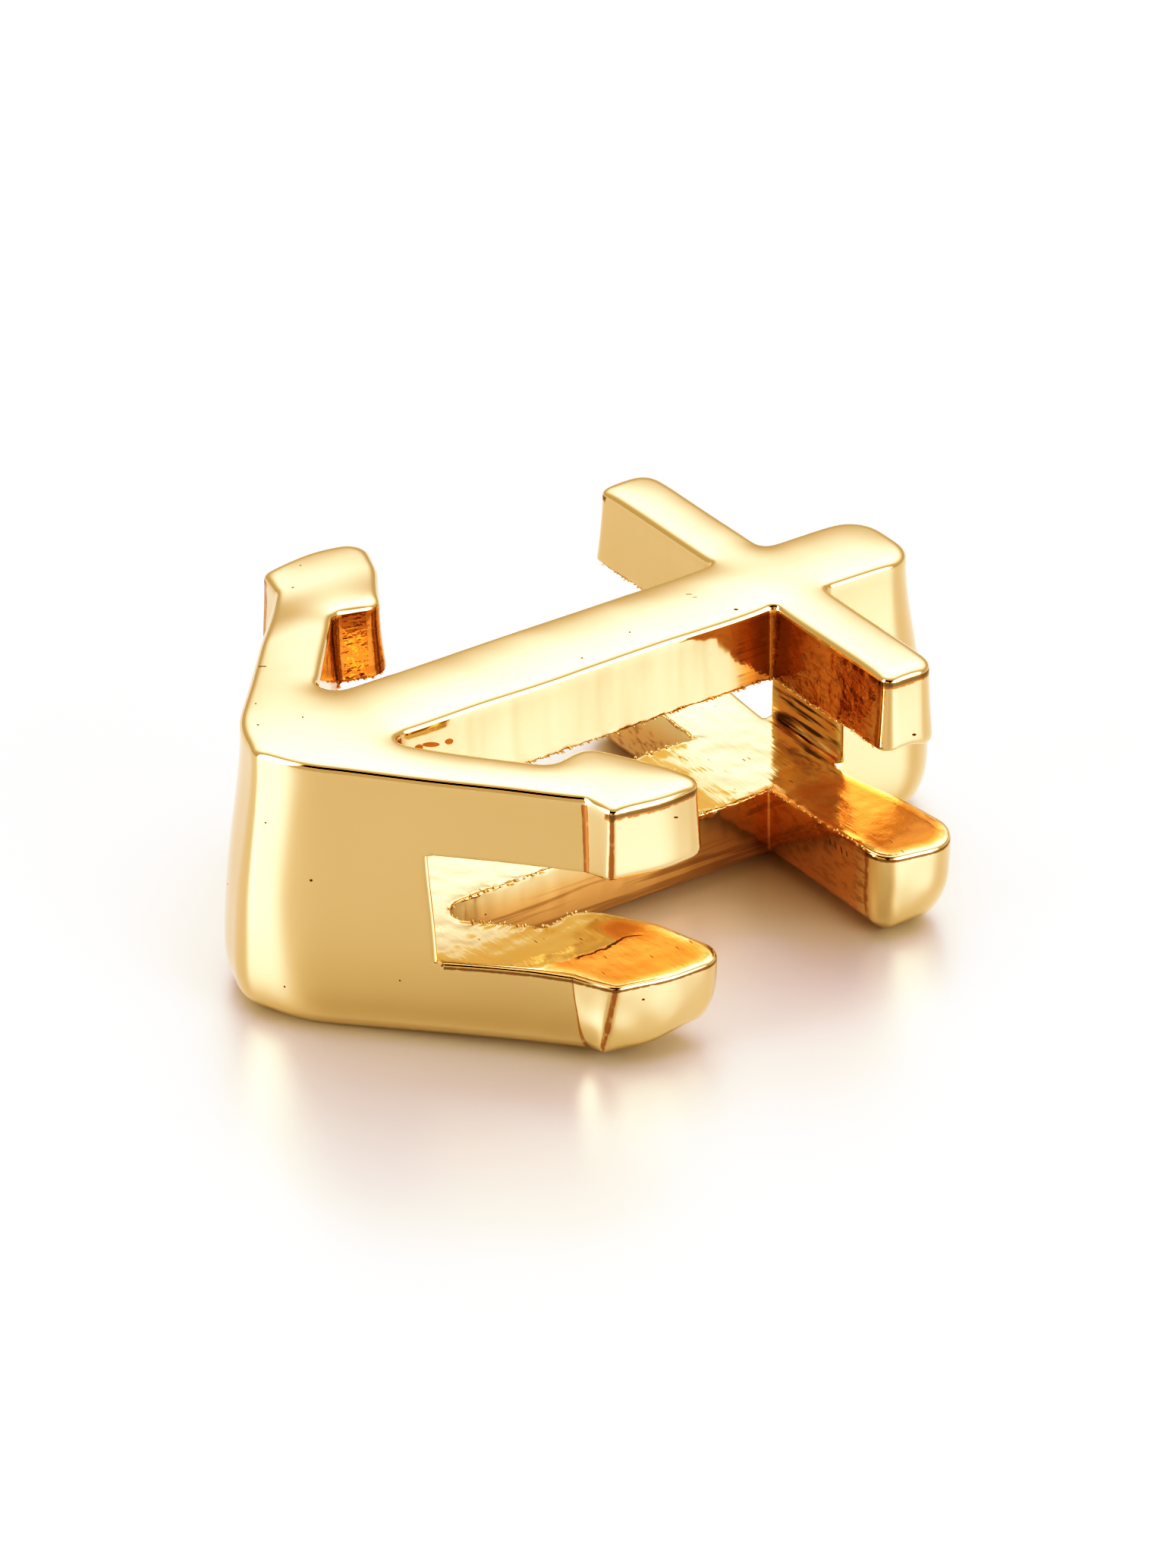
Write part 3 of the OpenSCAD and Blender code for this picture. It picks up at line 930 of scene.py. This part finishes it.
def castGold():
    g = slotGold
    material, tree = newMaterial("asCastGoldPlate")
    deepTintAndShade, wall = (addNode(tree, "Attribute", out="Fac", attribute_name=name) for name in ("deepTintAndShade", "wall"))
    # Painted orange and brown shade in the slot's recesses, with random patches mixed in
    mixed = addNode(tree, "Math", (deepTintAndShade, softNoise(tree, *g["patches"])), operation="ADD")
    bare = addNode(tree, "MapRange", (mixed, *g["bare"]))
    most = addNode(tree, "Math", (deepTintAndShade, g["leastDepth"]), operation="MAXIMUM")
    depth = addNode(tree, "Math", (bare, most), operation="MULTIPLY")
    bumps = noiseBumps(tree, [(*g["wave"], 1), (*g["drag"], 1), (*g["grain"], bare)])
    streaks = addNode(tree, "Math", (noiseMask(tree, *g["streaks"]), wall), operation="MULTIPLY")
    dark = addNode(tree, "Math", (streaks, coldShut(tree)), operation="MAXIMUM")
    colour = layered(tree, goldColour(tree, depth), (dark, g["streak"]),
                     (scatteredSpecks(tree, *g["pores"]), g["pore"]))
    rough = addNode(tree, "MapRange", (bare, *g["roughness"]))
    giveSurface(tree, {"Metallic": 1.0, "Base Color": colour, "Roughness": rough, "Normal": bumps})
    return material


# Grains of metal that the mould left along the slot's inner rims: radius and spread in mm, share of the rim's
# points that carry one, and the least and most by which a grain is stretched
burrs = {
    "Radius": 0.028, "Spread": 0.025, "Share": 0.8, "Seed": 4,
    "least": (0.4, 0.4, 0.3), "most": (1.9, 1.5, 1.2),
}


def grainTree(material):
    # Geometry nodes: a share of the rim's points, each moved a little, carries a grain of random size
    tree = bpy.data.node_groups.new("rimGrains", "GeometryNodeTree")
    for name in ("Geometry", "Radius", "Spread", "Share", "Seed"):
        kind = {"Geometry": "Geometry", "Seed": "Int"}.get(name, "Float")
        tree.interface.new_socket(name, in_out="INPUT", socket_type="NodeSocket" + kind)
    tree.interface.new_socket("Geometry", in_out="OUTPUT", socket_type="NodeSocketGeometry")
    given = tree.nodes.new("NodeGroupInput").outputs
    seed = given["Seed"]
    chance = addNode(tree, "FunctionNodeRandomValue", {"Seed": seed}, 1, data_type="FLOAT")
    dropped = addNode(tree, "Math", (chance, given["Share"]), operation="GREATER_THAN")
    left = addNode(tree, "GeometryNodeDeleteGeometry", {"Geometry": given["Geometry"], "Selection": dropped},
                   domain="POINT")
    way = addNode(tree, "FunctionNodeRandomValue", {0: (-1, -1, -1), 1: (1, 1, 1), "Seed": seed},
                  data_type="FLOAT_VECTOR")
    offset = addNode(tree, "VectorMath", {0: way, "Scale": given["Spread"]}, operation="SCALE")
    moved = addNode(tree, "GeometryNodeSetPosition", {"Geometry": left, "Offset": offset})
    ball = addNode(tree, "GeometryNodeMeshIcoSphere", {"Radius": given["Radius"], "Subdivisions": 2}, "Mesh")
    size = addNode(tree, "FunctionNodeRandomValue", {0: burrs["least"], 1: burrs["most"], "Seed": seed},
                   data_type="FLOAT_VECTOR")
    placed = addNode(tree, "GeometryNodeInstanceOnPoints", {"Points": moved, "Instance": ball, "Scale": size})
    real = addNode(tree, "GeometryNodeRealizeInstances", {"Geometry": placed})
    done = addNode(tree, "GeometryNodeSetMaterial", {"Geometry": real, "Material": material})
    addNode(tree, "NodeGroupOutput", {"Geometry": done})
    return tree


def makeGrains(points, rim, material):
    line = bpy.data.meshes.new("rimLine")
    line.from_pydata([tuple(points[number] * mm) for number in rim], [], [])
    holder = newObject("rimLine", line)
    modifier = holder.modifiers.new("grains", "NODES")
    modifier.node_group = grainTree(material)
    for item in modifier.node_group.interface.items_tree:
        if item.in_out == "INPUT" and item.name in burrs:
            scale = mm if item.name in ("Radius", "Spread") else 1
            modifier[item.identifier] = burrs[item.name] * scale
    made = bpy.data.meshes.new_from_object(holder.evaluated_get(bpy.context.evaluated_depsgraph_get()))
    bpy.data.objects.remove(holder)
    made.name = "rimGrains"
    made.polygons.foreach_set("use_smooth", [True] * len(made.polygons))
    print("rim grains:", len(made.polygons), "triangles")
    return newObject("rimGrains", made)


# Pits in the polished faces, at the pixels where the photograph shows them, with their length and width in mm
pits = {
    "metal": "darkBareAlloy", "colour": "#5A3A18", "roughness": 0.5,
    "seen": (
        (386, 774, 0.05, 0.04), (396, 745, 0.04, 0.03), (410, 1160, 0.06, 0.05), (350, 1084, 0.05, 0.03),
        (375, 1300, 0.04, 0.04), (527, 1292, 0.04, 0.03), (848, 1317, 0.06, 0.04), (891, 1077, 0.11, 0.035),
        (970, 803, 0.09, 0.06), (908, 783, 0.13, 0.02), (916, 787, 0.1, 0.02), (767, 867, 0.05, 0.04),
        (830, 833, 0.04, 0.04), (1205, 968, 0.1, 0.05), (340, 955, 0.05, 0.04), (337, 927, 0.04, 0.03),
        (399, 945, 0.04, 0.04), (1022, 872, 0.05, 0.04), (300, 1165, 0.04, 0.03), (640, 1205, 0.04, 0.03),
        (346, 878, 0.16, 0.03), (1094, 1109, 0.04, 0.14), (1101, 1114, 0.035, 0.16), (1109, 1120, 0.04, 0.16),
        (1116, 1125, 0.03, 0.12), (1121, 909, 0.05, 0.12), (1105, 893, 0.03, 0.08)),
}
# A stain of bare alloy on the shank's near side, by the notch
stains = {
    "metal": "tarnishedAlloy", "colour": "#C07A3C", "roughness": 0.3,
    "seen": ((568, 981, 0.42, 0.1), (552, 985, 0.2, 0.13), (592, 977, 0.2, 0.12)),
}
plug = {"lift": 0.002, "root": 0.02, "sides": 12}      # how far a mark's plug stands out and goes in, in mm


def makeMarks(name, surface, marks):
    # A small oval plug sits in the casting wherever a ray from the camera through its pixel lands
    sides = plug["sides"]
    middleX, middleY = view["middlePixel"]
    corners, faces = [], []
    for px, py, length, width in marks["seen"]:
        across, rise = (px - middleX) / view["pixelsPerMm"], (middleY - py) / view["pixelsPerMm"]
        hit, normal, *_ = surface.ray_cast(spot, (aim + right * across + up * rise).normalized())
        if hit is None:
            continue
        side = normal.cross(up).normalized()
        top = len(corners)
        low = top + sides
        for level in (plug["lift"], -plug["root"]):
            for k in range(sides):
                turn = math.radians(360 / sides * k)
                out = side * (math.cos(turn) * length / 2) + normal.cross(side) * (math.sin(turn) * width / 2)
                corners.append(tuple((hit + out + normal * level) * mm))
        faces += [tuple(range(top, low)), tuple(range(low + sides - 1, low - 1, -1))]
        faces += [(top + k, low + k, low + (k + 1) % sides, top + (k + 1) % sides) for k in range(sides)]
    mesh = bpy.data.meshes.new(name)
    mesh.from_pydata(corners, [], faces)
    material, tree = newMaterial(marks["metal"])
    giveSurface(tree, {
        "Metallic": 1.0, "Base Color": linearColour(marks["colour"]), "Roughness": marks["roughness"]})
    mesh.materials.append(material)
    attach(newObject(name, mesh), rootBody)
    print(name, "placed:", len(corners) // (2 * sides))


surface = bvhtree.BVHTree.FromPolygons(points.tolist(), [[int(v) for v in f] for f in skin.faces])
makeMarks("platePits", surface, pits)
makeMarks("shankStain", surface, stains)
slotMetal = castGold()
anchorCasting.data.materials.append(polishedGold())
anchorCasting.data.materials.append(slotMetal)
rimGrains = makeGrains(points, rimPoints, slotMetal)
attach(rimGrains, rootBody)
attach(anchorCasting, rootBody)
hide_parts("anchor_slider")

# Glossy white board
board = {"half": 1.5, "colour": "#D5D3D2", "roughness": 0.42, "ior": 3.6}


def makeFloor():
    mesh = bpy.data.meshes.new("whiteBoard")
    h = board["half"]
    mesh.from_pydata([(-h, -h, 0), (h, -h, 0), (h, h, 0), (-h, h, 0)], [], [(0, 1, 2, 3)])
    material, tree = newMaterial("glossyWhiteBoard")
    giveSurface(tree, {
        "Base Color": linearColour(board["colour"]), "Roughness": board["roughness"], "IOR": board["ior"]})
    mesh.materials.append(material)
    newObject("whiteBoard", mesh)


makeFloor()

# The light tent round the stage: a warm glow all over, and white areas that add to it or gaps that take from
# it. Each has its direction in degrees round from +X and above the floor, and its half width and half height.
tent = {"glow": 0.68, "warm": (1, 0.88, 0.72), "mapSize": 256, "behind": (-0.1, 0.1)}
areas = {
    "back": {"at": (137, 60), "half": (66, 50), "light": 1.76},
    "leftStrip": {"at": (-101, 22), "half": (14, 34), "light": 6.2},
    "rightStrip": {"at": (16, 22), "half": (32, 28), "light": 4.0},
    "frontGap": {"at": (-50, 50), "half": (120, 13), "light": -0.9},
    "lens": {"at": (-36, 20), "half": (13, 28), "light": -0.6},
}
# How the film answers, for red, green and blue: warm in the shadows, with a soft shoulder up to white
response = {
    "white": 1.3,
    0: ((0.1, 0.09), (0.5, 0.5), (0.85, 0.86), (1.0, 0.96), (1.12, 1)),
    1: ((0.1, 0.06), (0.3, 0.23), (0.55, 0.49), (0.8, 0.79), (0.95, 0.94), (1.08, 1)),
    2: ((0.1, 0.03), (0.27, 0.14), (0.42, 0.35), (0.6, 0.6), (0.8, 0.83), (1.0, 1)),
}


def areaLight(tree, way, area):
    # Full in the area's middle, falling off smoothly to nothing at its oval edge
    a, e = (math.radians(angle) for angle in area["at"])
    centre = Vector((math.cos(a) * math.cos(e), math.sin(a) * math.cos(e), math.sin(e)))
    across, upward = (math.sin(math.radians(min(h, 90))) for h in area["half"])
    side = Vector((-centre.y, centre.x, 0)).normalized()
    axes = (centre, side / across, centre.cross(side) / upward)
    along = [addNode(tree, "VectorMath", (way, axis), "Value", operation="DOT_PRODUCT") for axis in axes]
    squares = [addNode(tree, "Math", (a, a), operation="MULTIPLY") for a in along[1:]]
    oval = addNode(tree, "Math", squares, operation="ADD")
    behind = addNode(tree, "MapRange", (along[0], *tent["behind"], 2, 0), interpolation_type="SMOOTHSTEP")
    spread = addNode(tree, "Math", (oval, behind), operation="ADD")
    return addNode(tree, "MapRange", (spread, 0, 1, area["light"], 0), interpolation_type="SMOOTHSTEP")


def makeTent():
    world = bpy.data.worlds.new("studioTent")
    bpy.context.scene.world = world
    world.cycles.sampling_method = "MANUAL"
    world.cycles.sample_map_resolution = tent["mapSize"]
    world.use_nodes = True
    tree = world.node_tree
    tree.nodes.clear()
    way = addNode(tree, "TexCoord", out="Generated")
    total = tuple(tent["glow"] * c for c in tent["warm"])
    for area in areas.values():
        total = addNode(tree, "VectorMath", (total, areaLight(tree, way, area)), operation="ADD")
    air = addNode(tree, "Background", {"Color": total})
    addNode(tree, "OutputWorld", {"Surface": air})


def makeFilm():
    setting = bpy.context.scene.view_settings
    setting.view_transform = "Standard"
    setting.use_curve_mapping = True
    curves = setting.curve_mapping
    curves.white_level = (response["white"],) * 3
    curves.extend = "HORIZONTAL"
    for channel in range(3):
        line = curves.curves[channel]
        for x, y in response[channel]:
            line.points.new(x / response["white"], y)
        for point in line.points:
            point.handle_type = "AUTO_CLAMPED"
    curves.update()


makeTent()
makeFilm()
print("stage ready")
